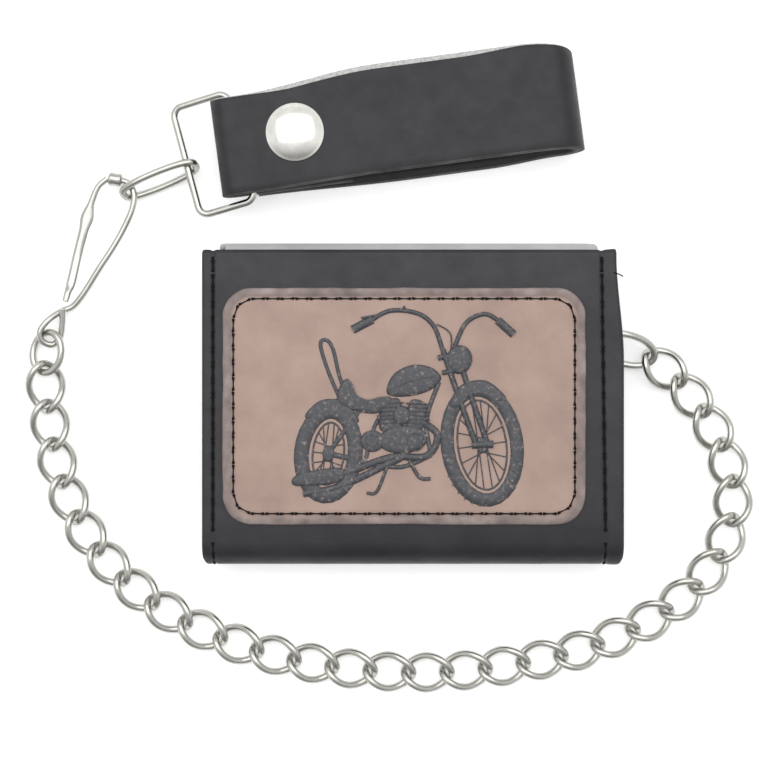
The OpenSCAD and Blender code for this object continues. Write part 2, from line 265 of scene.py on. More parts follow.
BLACK = leather("black_leather", (0.012, 0.012, 0.0145), (0.024, 0.024, 0.028), 0.40, 0.00004, 0.12)
STRAP = leather("strap_leather", (0.014, 0.014, 0.017), (0.023, 0.023, 0.026), 0.46, coat=0.06)
# the top fold's band: light grey leather as a painted highlight, standing in for strong top light
# on the rounded fold
FOLD_PAINTED_HIGHLIGHT = leather("fold_band_painted_highlight", grey(0.33), grey(0.42), 0.5, coat=0.1)
LINING = leather("lining_leather", (0.045, 0.044, 0.046), (0.075, 0.073, 0.076), 0.62, pores=2000)
EDGE = leather("strap_edge", (0.035, 0.033, 0.034), (0.12, 0.115, 0.112), 0.75, 0.00012, pores=2600)
NICKEL = metal("nickel", (0.86, 0.85, 0.80), 0.15)
WIRE = metal("nickel_wire", (0.50, 0.495, 0.46), 0.17)
THREAD = thread_material()
RAW = raw_edge_material()
PRINT = print_material()
CLEAR = clear_material()


# --- meshes


def new_object(name, data):
    obj = bpy.data.objects.new(name, data)
    bpy.context.scene.collection.objects.link(obj)
    return obj


def mesh_object(name, points, faces, material, indices=None):
    """A smooth object from points in millimetres.

    material may be several; indices then gives each face its place in the list."""
    mesh = bpy.data.meshes.new(name)
    mesh.from_pydata([tuple(Vector(p) * MM) for p in points], [], faces)
    for m in material if isinstance(material, list) else [material]:
        mesh.materials.append(m)
    for polygon, index in zip(mesh.polygons, indices or [0] * len(faces)):
        polygon.material_index = index
        polygon.use_smooth = True
    mesh.set_sharp_from_angle(angle=radians(50))
    return new_object(name, mesh)


def fix_normals(obj):
    work = bmesh.new()
    work.from_mesh(obj.data)
    bmesh.ops.recalc_face_normals(work, faces=work.faces)
    work.to_mesh(obj.data)
    work.free()
    return obj


def place(obj, body, slot_name, *nodes):
    """The usual end of a piece: it rides and stands for its nodes. slot_name is not used."""
    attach(obj, body)
    if nodes:
        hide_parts(*nodes)


def grid_faces(rows, cols, close_rows=False, close_cols=True):
    """Quads between rows of cols points each."""
    faces = []
    for i in range(rows if close_rows else rows - 1):
        j = (i + 1) % rows
        for k in range(cols if close_cols else cols - 1):
            m = (k + 1) % cols
            faces.append((i * cols + k, i * cols + m, j * cols + m, j * cols + k))
    return faces


def capped_faces(rows, cols):
    """Quads between closed rows of cols points each, and a face over each end."""
    last = (rows - 1) * cols
    return grid_faces(rows, cols) + [tuple(range(cols))[::-1], tuple(range(last, last + cols))]


def spline(points, steps, closed=False):
    """Catmull-Rom curve through the points."""
    points = [Vector(p) for p in points]
    count = len(points)
    out = []
    for i in range(count if closed else count - 1):
        if closed:
            a, b, c, d = (points[(i + k) % count] for k in (-1, 0, 1, 2))
        else:
            a, b = points[max(i - 1, 0)], points[i]
            c, d = points[i + 1], points[min(i + 2, count - 1)]
        for k in range(steps):
            t = k / steps
            square, cubic = 2 * a - 5 * b + 4 * c - d, 3 * b - a - 3 * c + d
            out.append(0.5 * (2 * b + (c - a) * t + square * t * t + cubic * t**3))
    return out if closed else out + points[-1:]


def sweep(points, radii, sides, closed=False, centre=None):
    """A tube round points. radii is one (across, up) pair per point, or one number.

    Across is horizontal, or along the way out from centre for a loop."""
    count = len(points)
    rings = []
    for i, p in enumerate(points):
        after = points[(i + 1) % count] if closed else points[min(i + 1, count - 1)]
        before = points[i - 1] if closed else points[max(i - 1, 0)]
        along = (after - before).normalized()
        if centre is None:
            side = UP.cross(along).normalized()
        else:
            out = p - centre
            side = (out - out.dot(along) * along).normalized()
        up = along.cross(side)
        across, tall = (radii, radii) if isinstance(radii, (int, float)) else radii[i]
        for k in range(sides):
            a = TAU * k / sides
            rings.append(p + across * cos(a) * side + tall * sin(a) * up)
    return rings, grid_faces(count, sides, True) if closed else capped_faces(count, sides)


def join_parts(parts):
    """Several (points, faces) as one."""
    points, faces = [], []
    for p, f in parts:
        base = len(points)
        points += p
        faces += [tuple(base + i for i in face) for face in f]
    return points, faces


def lathe(profile, centre, sides):
    """A turned shape round Z from (radius, height) pairs; an open profile is capped."""
    points = []
    for r, z in profile:
        for k in range(sides):
            a = TAU * k / sides
            points.append(centre + Vector((r * cos(a), r * sin(a), z)))
    make = grid_faces if profile[0] == profile[-1] else capped_faces
    return points, make(len(profile), sides)


def turned(name, profile, centre, sides, body, node):
    """A turned nickel piece that stands for its node."""
    piece = fix_normals(mesh_object(name, *lathe(profile, centre, sides), NICKEL))
    place(piece, body, "nickel", node)


def apply_modifiers(obj):
    depsgraph = bpy.context.evaluated_depsgraph_get()
    mesh = bpy.data.meshes.new_from_object(obj.evaluated_get(depsgraph))
    obj.modifiers.clear()
    obj.data = mesh
    for polygon in mesh.polygons:
        polygon.use_smooth = True


def outline(a, b, inset, r, arc):
    """A rounded rectangle from corner a to corner b, drawn in by inset, anticlockwise."""
    x0, y0 = a.x + inset + r, a.y + inset + r
    x1, y1 = b.x - inset - r, b.y - inset - r
    points = []
    for cx, cy, start in ((x1, y0, -90), (x1, y1, 0), (x0, y1, 90), (x0, y0, 180)):
        for k in range(arc + 1):
            turn = radians(start + 90 * k / arc)
            points.append((cx + r * cos(turn), cy + r * sin(turn)))
    return points


def ease(t):
    t = min(max(t, 0), 1)
    return t * t * (3 - 2 * t)


# --- stitches


# over the first half of a stitch: the way along it, then its lift and fatness in radii
STITCH_HALF = [
    (0, -0.7, 0.6), (0.07, 0.1, 1), (0.16, 0.25, 0.95), (0.28, 0.35, 0.55), (0.42, 0.4, 0.42),
]
STITCH_SHAPE = STITCH_HALF + [(1 - t, lift, fat) for t, lift, fat in reversed(STITCH_HALF)]
STITCH_SIDES = 8
STITCH_PAST = 0.015
STITCH_WOBBLE = 0.05


def stitch(a, b, normal, radius):
    """One thread stitch from a to b: thin along its middle, fat where it dives into its hole."""
    side = (b - a).cross(normal).normalized()
    rings = []
    for t, lift, fat in STITCH_SHAPE:
        middle = a.lerp(b, t) + normal * radius * lift
        for k in range(STITCH_SIDES):
            turn = TAU * k / STITCH_SIDES
            rings.append(middle + fat * radius * (cos(turn) * side + sin(turn) * normal))
    return rings, capped_faces(len(STITCH_SHAPE), STITCH_SIDES)


def sewn(name, parts, body, *nodes):
    """A piece of thread made of its stitches."""
    place(mesh_object(name, *join_parts(parts), THREAD), body, "thread", *nodes)


def stitch_line(places, pitch, radius):
    """Stitches along (point, normal) places, each a little past its hole at both ends."""
    places = [(Vector(p), Vector(n)) for p, n in places]
    reach = [0]
    for (p, _), (q, _) in zip(places, places[1:]):
        reach.append(reach[-1] + (q - p).length)

    def at(s):
        i = next((i for i in range(len(reach) - 2) if s <= reach[i + 1]), len(reach) - 2)
        t = (s - reach[i]) / max(reach[i + 1] - reach[i], 1e-9)
        (p, n), (q, m) = places[i], places[i + 1]
        return p.lerp(q, t), n.lerp(m, t).normalized()

    count = max(round(reach[-1] / pitch), 1)
    step = reach[-1] / count
    parts = []
    for i in range(count):
        a, na = at(step * (i - STITCH_PAST))
        b, nb = at(step * (i + 1 + STITCH_PAST))
        wobble = Vector((dice.uniform(-1, 1), dice.uniform(-1, 1), 0)) * STITCH_WOBBLE
        parts.append(stitch(a + wobble, b - wobble, (na + nb).normalized(), radius))
    return parts


# --- shell

LEATHER_T = high("middle_panel").z - low("middle_panel").z
FRONT_Z = high("middle_panel").z
MARGIN_Z = high("outer_flap").z - LEATHER_T
HALF_W = high("middle_panel").x
FOLD = PIVOT["wallet_fold"]
FOLD_R = FRONT_Z - FOLD.z
TOP = PIVOT["inner_fold"]
SEAM_Y = TOP.y - 2
BAND_Z = FRONT_Z - 2.6
LEFT_STITCH = -51.2
RIGHT_STITCH_TOP = 48.3
RIGHT_STITCH_BOTTOM = 49.3
STITCH_PITCH = 3.8
SIDE_THREAD = 0.44
THREAD_SINK = 0.22
EDGE_LEAN = 1.9
HOLE_R = 3.92
# heights in metres across the folds; no blend in this script uses them
BLEND_FRONT, BLEND_FLAP, BLEND_INNER = 0.0138, 0.0054, 0.0087


def right_stitch(y):
    """The right stitch line leans a little from the top fold to the bottom fold."""
    t = (TOP.y - y) / (TOP.y - FOLD.y)
    return RIGHT_STITCH_TOP + (RIGHT_STITCH_BOTTOM - RIGHT_STITCH_TOP) * t


def arc_places(centre, radius, start, stop, count):
    """(y, z, ny, nz) round a fold; angles in degrees, 90 is straight up."""
    turns = [radians(start + (stop - start) * i / (count - 1)) for i in range(count)]
    return [(centre.y + radius * cos(a), centre.z + radius * sin(a), cos(a), sin(a)) for a in turns]


def line_places(y0, y1, z, nz, count):
    return [(y0 + (y1 - y0) * i / count, z, 0, nz) for i in range(count)]


def x_stations():
    """Stations across the wallet, close together at the stitch lines and edges."""
    edge = [0, 0.15, 0.45, 0.9, 1.5]
    out = [-HALF_W + e for e in edge] + [HALF_W - e for e in edge]
    out += [LEFT_STITCH + d * 0.3 for d in range(-4, 5)]
    out += [(RIGHT_STITCH_TOP + RIGHT_STITCH_BOTTOM) / 2 + d * 0.35 for d in range(-6, 7)]
    out += [-48 + 4 * i for i in range(24)]
    return sorted({round(x, 3) for x in out})


def groove(x, line, depth=0.32, width=0.55):
    return depth * exp(-(((x - line) / width) ** 2))


def shell_sheet(name, places, limits, under, material, indices=None):
    """A leather sheet whose outer face follows places; limits gives its two side edges.

    under(x, y, nz) lifts the outer face, as the padded centre does. indices gives the
    material of each row of quads on both faces."""
    stations = x_stations()
    cols, rows = len(stations), len(places)
    outer, inner = [], []
    for y, z, ny, nz in places:
        left, right = limits(y, z)
        for station in stations:
            x = left + (right - left) * (station + HALF_W) / (2 * HALF_W)
            rim = min((HALF_W - abs(station)) / 0.7, 1)
            round_off = 0.5 * LEATHER_T * (1 - sqrt(max(0, 1 - (1 - rim) ** 2)))
            depth = round_off + groove(x, LEFT_STITCH) + groove(x, right_stitch(y))
            depth -= 0.22 * exp(-(((HALF_W - x - 2.3) / 1.6) ** 2)) + under(x, y, nz)
            outer.append((x, y - ny * depth, z - nz * depth))
            depth = LEATHER_T - round_off
            inner.append((x, y - ny * depth, z - nz * depth))
    half = rows * cols
    top = grid_faces(rows, cols, close_cols=False)
    faces = top + [tuple(half + i for i in reversed(f)) for f in top]
    slots = [indices[k // (cols - 1)] if indices else 0 for k in range(len(top))] * 2
    rims = [(i * cols + k, (i + 1) * cols + k) for i in range(rows - 1) for k in (0, cols - 1)]
    rims += [(i * cols + k, i * cols + k + 1) for i in (0, rows - 1) for k in range(cols - 1)]
    faces += [(a, b, half + b, half + a) for a, b in rims]
    slots += [0] * len(rims)
    return fix_normals(mesh_object(name, outer + inner, faces, material, slots))


def right_edge(y):
    """The right edge runs in a little towards the top fold."""
    return HALF_W - EDGE_LEAN * ease((y - 12) / (TOP.y - 10))


def front_limits(y, z):
    """Side edges: full width on top, the outer flap's own width below."""
    t = ease((FRONT_Z - z) / (FRONT_Z - MARGIN_Z))
    right = right_edge(y)
    flap_left, flap_right = low("outer_flap").x, min(high("outer_flap").x, right - 0.7)
    return -HALF_W + (flap_left + HALF_W) * t, right + (flap_right - right) * t


def back_limits(y, z):
    """Full width on the turned top edge, then the fold's and the inner flap's width."""
    if z > BAND_Z:
        return -HALF_W, right_edge(y)
    t = ease((BAND_Z - 2 - z) / (BAND_Z - 4 - low("inner_flap").z))
    fold_left, fold_right = low("top_fold").x + 1.6, high("top_fold").x - 0.4
    inner_left, inner_right = low("inner_flap").x, high("inner_flap").x
    return fold_left + (inner_left - fold_left) * t, fold_right + (inner_right - fold_right) * t


def pad(x, y, nz):
    """How far the outer face rises: the crowned front, and the padded centre underneath."""
    if nz > 0:
        return -(0.5 * ease((-29.5 - y) / 8) + 0.35 * ease((y - 31) / 7)) * ease(nz / 0.8)
    if nz > -0.5:
        return 0
    across = ease((x + 51) / 9) * ease((45 - x) / 8)
    along = ease((y + 34) / 7) * ease((37 - y) / 6)
    return (MARGIN_Z - 0.05) * across * along


def crown(x, y, nz):
    """The crowned front alone, without the padding underneath."""
    return pad(x, y, nz) if nz > 0 else 0


def top_places():
    """The turned edge of the front, a crease, the fold's band with its pale painted highlight, and
    the inner flap.
    """
    turn_r, steps = 1.1, 19
    edge = Vector((0, high("top_fold").y - 1.7, FRONT_Z - turn_r))
    crease_y = edge.y + 0.75
    out = line_places(SEAM_Y, edge.y, FRONT_Z, 1, 5)
    out += arc_places(edge, turn_r, 90, 0, 7)
    out += [(crease_y, edge.z - 0.6, 0.95, 0.3), (crease_y, BAND_Z, 0.8, 0.6)]
    inner = low("inner_flap").z
    half = (BAND_Z - inner) / 2
    middle = Vector((0, edge.y - 1.9 + half * 0.2, inner + half))
    reach = high("top_fold").y + 1.3 - middle.y
    for k in range(1, steps + 1):
        a = radians(90 - 180 * k / steps)
        ny, nz = cos(a), sin(a)
        out.append((middle.y + reach * ny**0.7, middle.z + half * nz, ny, nz))
    return out


def build_shell():
    """The wallet's leather in two sheets: front with the outer flap, and back with the inner."""
    flap_end = high("outer_flap").y
    places = line_places(SEAM_Y, FOLD.y, FRONT_Z, 1, 36)
    places += arc_places(FOLD, FOLD_R, 90, 270, 25)
    places += line_places(FOLD.y + 0.5, flap_end, MARGIN_Z, -1, 48)
    places.append((flap_end, MARGIN_Z, 0, -1))
    front = shell_sheet("shell_front", places, front_limits, pad, BLACK)
    hole = lathe([(HOLE_R, -8), (HOLE_R, 8)], PIVOT["attach_ring_swing"], 48)
    cutter = fix_normals(mesh_object("cutter", *hole, BLACK))
    cut = front.modifiers.new("hole", "BOOLEAN")
    cut.object = cutter
    cut.solver = "EXACT"
    apply_modifiers(front)
    bpy.data.objects.remove(cutter)
    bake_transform(front)
    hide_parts("outer_flap", "bottom_fold", "middle_panel")

    inner = low("inner_flap")
    places = top_places()
    places += line_places(places[-1][0] - 0.5, inner.y, inner.z, -1, 30)
    places.append((inner.y, inner.z, 0, -1))
    # rows of the top fold's band that get the pale painted highlight
    pale = [int(y > TOP.y - 0.5 and BAND_Z + 0.2 > z > BAND_Z - 7) for y, z, _, _ in places[1:]]
    back = shell_sheet("shell_back", places, back_limits, crown, [BLACK, FOLD_PAINTED_HIGHLIGHT], pale)
    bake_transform(back)
    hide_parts("top_fold", "inner_flap")


def build_stray_thread():
    """A loose end that stands out of the right edge, near the top."""
    root = Vector((right_edge(TOP.y - 2.6), TOP.y - 2.6, FRONT_Z))
    steps = [(-1.1, 0.5, -0.1), (-0.2, 0.2, 0.05), (0.7, -0.1, -0.2), (1.5, -0.5, -0.6)]
    line = spline([root + Vector(step) for step in steps], 6)
    sewn("stray_thread", [sweep(line, 0.16, 8)], "middle_body")


def seam_place(line, y, z, ny, nz):
    """A place on a seam, a little below the leather's outer face, and its normal."""
    x = line(y)
    drop = THREAD_SINK - pad(x, y, nz)
    return (x, y - ny * drop, z - nz * drop), (0, ny, nz)


def build_side_stitches():
    """Thread down both sides of the front, running on over the two folds."""
    flat, bottom, top = [], [], []
    runs = (
        (flat, line_places(SEAM_Y - 0.4, FOLD.y + 0.4, FRONT_Z, 1, 30)),
        (bottom, arc_places(FOLD, FOLD_R, 90, 250, 15)),
        (top, [p for p in top_places() if p[1] > BAND_Z + 0.5]),
    )
    for line in (lambda y: LEFT_STITCH, right_stitch):
        for parts, run in runs:
            places = [seam_place(line, *p) for p in run]
            parts += stitch_line(places, STITCH_PITCH, SIDE_THREAD)
    sewn("side_stitches", flat, "middle_body", "side_stitching")
    for name, parts, other, centre, end_z in (
        ("bottom_fold_stitches", bottom, "outer_flap_body", FOLD, BLEND_FLAP),
        ("top_fold_stitches", top, "inner_body", TOP, BLEND_INNER),
    ):
        piece = mesh_object(name, *join_parts(parts), THREAD)
        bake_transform(piece)


# --- interior


def soft_sheet(node, body, stitched):
    """A pocket or divider in the space of its CAD node, its edge rounded and creased."""
    a, b = low(node), high(node)
    soft, crease = 0.25, (b.z - a.z) * 0.18
    profile = [(soft, a.z), (0, a.z + soft * 0.7), (0, b.z - soft * 0.7), (soft, b.z)]
    profile += [(2.2, b.z), (2.5, b.z - crease), (2.8, b.z)]
    points = []
    for inset, z in profile:
        ring = outline(a, b, inset, max(3 - inset, 0.4), 6)
        points += [(x, y, z) for x, y in ring]
    faces = capped_faces(len(profile), len(ring))
    place(mesh_object(node + "_leather", points, faces, LINING), body, "lining", node)
    if stitched:
        z, up = b.z - 0.04, (0, 0, 1)
        rows = []
        for x in (a.x + 1.4, b.x - 1.4):
            rows += stitch_line([((x, a.y + 2, z), up), ((x, b.y - 2, z), up)], 3.4, 0.22)
        sewn(node + "_leather_stitches", rows, body)


def build_interior():
    """Pockets and divider of their own; the rest keep their CAD shape and get a material."""
    for node in ("outer_pocket_back", "outer_pocket_front", "bill_divider", "middle_pocket"):
        body = "outer_flap_body" if node.startswith("outer") else "middle_body"
        soft_sheet(node, body, stitched=node != "bill_divider")
    for node in ("middle_lining", "id_window_frame", "id_window"):
        materials = frame["nodes"][node].data.materials
        materials.clear()
        materials.append(CLEAR if node == "id_window" else LINING)


# --- patch

PATCH_LOW, PATCH_HIGH = low("patch"), high("patch")
PATCH_C = (PATCH_LOW + PATCH_HIGH) / 2
PATCH_HALF = (PATCH_HIGH - PATCH_LOW) / 2
PATCH_Z = PATCH_HIGH.z
PATCH_R = 7.5
PATCH_SEAM = 2.8
PATCH_PITCH = 3.75
PATCH_THREAD = 0.4
PATCH_WANDER = 0.22
SIDE_PARTS = 40
# how far in from the patch's edge, and the share of its thickness there
PATCH_STEPS = [
    (0, 0), (0, 0.55), (0.12, 0.85), (0.4, 1), (1.1, 1.02), (1.8, 1),
    (2.05, 0.86), (2.3, 0.80), (2.55, 0.86), (2.9, 1.02), (4, 1.04), (9, 1.04),
]


def finer(ring):
    """The same closed outline with its long sides cut into SIDE_PARTS.

    The count doesn't depend on the inset, so that outlines can be joined."""
    out = []
    for k, (x, y) in enumerate(ring):
        x1, y1 = ring[(k + 1) % len(ring)]
        parts = SIDE_PARTS if hypot(x1 - x, y1 - y) > 8 else 1
        out += [(x + (x1 - x) * i / parts, y + (y1 - y) * i / parts) for i in range(parts)]
    return out


def smooth_noise(count, size):
    """A closed run of small random steps, smoothed."""
    run = [dice.uniform(-1, 1) for _ in range(count)]
    for _ in range(2):
        run = [(run[k - 1] + 2 * run[k] + run[(k + 1) % count]) / 4 for k in range(count)]
    return [size * v for v in run]


def build_patch():
    """Rounded slab with a burnished rim and a sewn groove inside it."""
    points = []
    for inset, share in PATCH_STEPS:
        z = PATCH_LOW.z - 0.02 + (PATCH_Z - PATCH_LOW.z) * share
        ring = finer(outline(PATCH_LOW, PATCH_HIGH, inset, max(PATCH_R - inset, 1.6), 12))
        points += [Vector((x, y, z)) for x, y in ring]
    count, rows = len(ring), len(PATCH_STEPS) - 3
    for k, wander in enumerate(smooth_noise(count, PATCH_WANDER)):
        for row in range(rows):
            point = points[row * count + k]
            point += (point - PATCH_C).normalized() * wander * (1 - row / rows)
    faces = capped_faces(len(PATCH_STEPS), count)
    piece = mesh_object("patch_leather", points, faces, patch_material())
    place(piece, "middle_body", "tan_leather", "patch")

    ring = outline(PATCH_LOW, PATCH_HIGH, PATCH_SEAM, 4.5, 3)
    places = [((x, y, PATCH_Z - 0.12), (0, 0, 1)) for x, y in ring + ring[:1]]
    parts = stitch_line(places, PATCH_PITCH, PATCH_THREAD)
    sewn("patch_stitches", parts, "middle_body", "patch_stitching")


# --- motorcycle


def stroke(points, width, height=0.34, steps=6, closed=False):
    """A raised rounded line of the print."""
    line = [Vector((x, y, PATCH_Z + 0.02)) for x, y in points]
    if len(line) > 2:
        line = spline(line, steps, closed)
    return sweep(line, [(width / 2, height)] * len(line), 10, closed)


def blob(points, height=0.42, steps=5):
    """A raised filled shape of the print, from its outline."""
    ring = spline([Vector((x, y, 0)) for x, y in points], steps, True)
    middle = sum(ring, Vector()) / len(ring)
    rows = []
    for shrink, share in ((1, 0), (0.97, 0.6), (0.9, 0.9), (0.7, 1)):
        z = Vector((0, 0, PATCH_Z + 0.02 + height * share))
        rows += [middle + (p - middle) * shrink + z for p in ring]
    count = len(ring)
    return rows, grid_faces(4, count) + [tuple(range(3 * count, 4 * count))]


def ellipse(cx, cy, rx, ry, lean=0, count=28):
    c, s = cos(radians(lean)), sin(radians(lean))
    out = []
    for k in range(count):
        x, y = rx * cos(TAU * k / count), ry * sin(TAU * k / count)
        out.append((cx + x * c - y * s, cy + x * s + y * c))
    return out


SPOKES = 18
REAR_WHEEL = (-21.6, -12, 8.8, 12.8, 3.9, -6)
FRONT_WHEEL = (17.6, -9.8, 10.6, 15.9, 3.5, 8)


def wheel(cx, cy, rx, ry, tyre, lean):
    """A wire wheel seen at an angle: tyre, rim, hub and crossed spokes."""
    rim_x, rim_y = rx - tyre - 0.9, ry - tyre - 0.9
    parts = [
        stroke(ellipse(cx, cy, rx - tyre / 2, ry - tyre / 2, lean), tyre, 0.5, 1, True),
        stroke(ellipse(cx, cy, rim_x, rim_y, lean), 0.5, 0.3, 1, True),
        blob(ellipse(cx, cy, 1.5, 2.1, lean, 10), 0.5, 2),
    ]
    rim = ellipse(cx, cy, rim_x, rim_y, lean, SPOKES)
    hub = ellipse(cx, cy, 1.2, 1.8, lean, SPOKES)
    for k in range(SPOKES):
        parts.append(stroke([hub[(k * 5) % SPOKES], rim[k]], 0.34, 0.22))
    return parts


def build_motorcycle():
    """A chopper of the builder's own design, in raised strokes and shapes."""
    mudguard = [(-27.5, -2), (-23.5, 1.6), (-17.5, 1.4), (-13.8, -3.2)]
    mudguard += [(-15.2, -4), (-18.5, -0.9), (-23.2, -0.6), (-26.2, -3.4)]
    sissy_bar = [(-17.8, 0.2), (-21.4, 8.4), (-23.6, 15.6), (-22.2, 17)]
    sissy_bar += [(-20.4, 14.6), (-18.6, 7.2), (-15.6, 0.4)]
    seat = [(-19.4, 1.4), (-18.4, 5.8), (-16.4, 7), (-15, 3.4), (-10.8, 1.6)]
    seat += [(-6.2, 2.6), (-5.2, 0.4), (-9.6, -1.8), (-15.8, -0.8)]
    tank = [(-6.6, 3.2), (-5.2, 8), (-0.4, 10.6), (4.6, 10), (7.2, 7.2), (4.4, 4.2), (-1.2, 2.6)]
    upper_pipe = [(1.8, -3.6), (6.2, -7.2), (3.4, -12.6), (-6, -13), (-19, -17.6), (-28.4, -19)]
    lower_pipe = [(-4.4, -4.4), (-1.4, -11.2), (-8, -15.4), (-19.4, -20.6), (-28, -22.2)]
    fender = [(9.2, 0.8), (12.4, 5.6), (18.6, 6.6), (23.6, 2.6)]
    fender += [(22.4, 1.4), (18.2, 3.8), (13.4, 3), (10.4, -0.4)]
    parts = wheel(*REAR_WHEEL) + wheel(*FRONT_WHEEL)
    parts += [
        blob(mudguard),
        stroke(sissy_bar, 1),
        blob(seat, 0.55),
        blob(tank, 0.6),
        stroke([(-4.2, 5), (0.4, 6.8), (5.4, 7.6)], 0.5, 0.75),
        # frame
        stroke([(6.6, 6.2), (3.4, -3.4), (4.6, -12.4)], 1.2),
        stroke([(4.6, -12.4), (-3, -15.4), (-12, -14.4)], 1.2),
        stroke([(-12, -14.4), (-16.2, -13.2), (-21.6, -12)], 1.5),
        stroke([(-5.8, 1.2), (-9.8, -5), (-12, -13.2)], 1.1),
        stroke([(-13.6, -1), (-17.6, -6.4), (-21.6, -12)], 1.2),
        # engine: two finned cylinders, crankcase, air cleaner, gearbox
        blob([(-8.6, -5.6), (-7.4, 0.8), (-3.4, 1.8), (-2.8, -5), (-5.2, -6.4)], 0.5),
        blob([(-1.8, -5), (-0.6, 1.6), (3.4, 0.4), (2.6, -5.4), (0.4, -6.4)], 0.5),
        blob(ellipse(-2.6, -8.4, 6.4, 3.6, 4, 12), 0.55, 2),
        blob(ellipse(-2.9, -2.2, 2.3, 2.5, 0, 10), 0.85, 2),
        blob(ellipse(-10.4, -8.8, 3.1, 2.8, 0, 10), 0.5, 2),
        stroke(ellipse(0.6, -9, 2.1, 2.2, 0, 14), 0.45, 0.75, 1, True),
        stroke(ellipse(-10.4, -8.8, 1.7, 1.6, 0, 12), 0.4, 0.7, 1, True),
        # pipes
        stroke(upper_pipe, 1.9, 0.6),
        stroke(lower_pipe, 1.9, 0.55),
        blob([(-18.4, -15.6), (-29.2, -17.2), (-30, -20.2), (-18.6, -19.2)], 0.7),
        # fork legs, yokes, axle and mudguard
        stroke([(7.6, 14.6), (11, 4.2), (16, -9.6)], 1.5, 0.75),
        stroke([(10.8, 15.4), (14, 5), (19, -9.6)], 1.5, 0.75),
        stroke([(6.4, 12.4), (12.2, 13.4)], 1.5, 0.8),
        stroke([(7.4, 8.6), (13.4, 9.6)], 1.3, 0.8),
        stroke([(15, -9.8), (20.4, -9.6)], 2, 0.85),
        blob(fender, 0.65),
        # lamp
        blob(ellipse(11.8, 12, 3.3, 3.7, -10, 12), 0.9, 2),
        stroke(ellipse(12.2, 12, 2.4, 2.8, -10, 14), 0.5, 1, 1, True),
        # handlebars with grips and levers
        stroke([(7.4, 14.8), (5.2, 20.6), (1, 23.8), (-6, 24.4), (-11.6, 21.4)], 1.2, 0.6),
        stroke([(-10.4, 22.2), (-15.4, 19.6)], 2.3, 0.75),
        stroke([(-7.4, 23.6), (-13.2, 22.6)], 0.6, 0.5),
        stroke([(10.6, 15.4), (13.6, 21.4), (18.4, 23.6), (22.4, 21.4)], 1.2, 0.6),
        stroke([(21.6, 22), (25.6, 18.4)], 2.2, 0.75),
        stroke([(-1.6, 24), (-2.4, 25.6)], 0.6, 0.5),
        # foot pegs, stand and cables
        stroke([(-1, -13.6), (1.6, -18), (4.4, -18.4)], 1, 0.6),
        stroke([(-6.4, -14.6), (-9.2, -21.6), (-11.8, -22)], 0.9, 0.5),
        stroke([(6, 21), (9.6, 18.4), (9.4, 12)], 0.4, 0.5),
    ]
    for k in range(6):  # cooling fins
        y = -4.4 + k
        parts.append(stroke([(-9.4 + 0.15 * k, y), (-2.4, y + 0.4)], 0.42, 0.75))
        parts.append(stroke([(-1.8, y + 0.2), (4.4 - 0.15 * k, y)], 0.42, 0.75))
    cx, cy = FRONT_WHEEL[:2]
    for k in range(15):  # tread round the underside of the front tyre
        x, y = cos(radians(200 + 11 * k)), sin(radians(200 + 11 * k))
        ends = [(cx + 8.6 * x, cy + 13.9 * y), (cx + 10.1 * x, cy + 15.4 * y)]
        parts.append(stroke(ends, 0.5, 0.62))
    piece = mesh_object("motorcycle_relief", *join_parts(parts), PRINT)
    place(fix_normals(piece), "middle_body", "print_ink", "motorcycle_print")


# --- metal pieces

WIRE_R = 0.95
LINK_SIDES, LINK_STEPS, RING_STEPS = 16, 56, 72


def wire_loop(name, points, middle, body, node):
    """A closed loop of the chain's wire."""
    tube = sweep(points, WIRE_R, LINK_SIDES, True, middle)
    place(mesh_object(name, *tube, WIRE), body, "nickel", node)


def wire_ring(name, node, body, a, b, half, turns, full=1):
    """An oval wire ring from a to b.

    Its plane is turned about its length by turns[0] at a and turns[1] at b; a full
    below 1 makes the ends blunter."""
    middle = (a + b) / 2
    along = (b - a).normalized()
    side = UP.cross(along).normalized()
    up = along.cross(side)
    long = (b - a).length / 2
    points = []
    for k in range(RING_STEPS):
        t = TAU * (k + 0.5) / RING_STEPS
        tilt = radians(turns[0] + (turns[1] - turns[0]) * (cos(t) + 1) / 2)
        wide = half * copysign(abs(sin(t)) ** full, sin(t))
        across = cos(tilt) * side + sin(tilt) * up
        points.append(middle + long * cos(t) * along + wide * across)
    wire_loop(name, points, middle, body, node)


HINGES = [PIVOT[n + "_hinge"] for n in sorted(frame["nodes"]) if n.startswith("link_")]
HINGES.append(PIVOT["end_ring_hinge"])
PITCH = (HINGES[1] - HINGES[0]).length
SLACK = 0.5
HALF_LEN = (PITCH + 2 * WIRE_R + SLACK) / 2
HALF_WID = 4.375
HALF_GAP = (2 * WIRE_R + SLACK) / 2
HOLD_GAP = 2 * WIRE_R + 0.25


def build_links():
    """Curb links: ovals twisted a quarter turn from end to end."""
    for i, (start, stop) in enumerate(zip(HINGES, HINGES[1:]), 1):
        along = (stop - start).normalized()
        side = UP.cross(along)
        middle = (start + stop) / 2
        points = []
        for k in range(LINK_STEPS):
            t = TAU * k / LINK_STEPS
            x, y = HALF_LEN * cos(t), HALF_WID * sin(t)
            turn = radians(45) * x / HALF_LEN
            points.append(middle + x * along + y * (cos(turn) * side + sin(turn) * UP))
        wire_loop(f"curb_link_{i:02d}", points, middle, f"link_{i:02d}_body", f"link_{i:02d}")


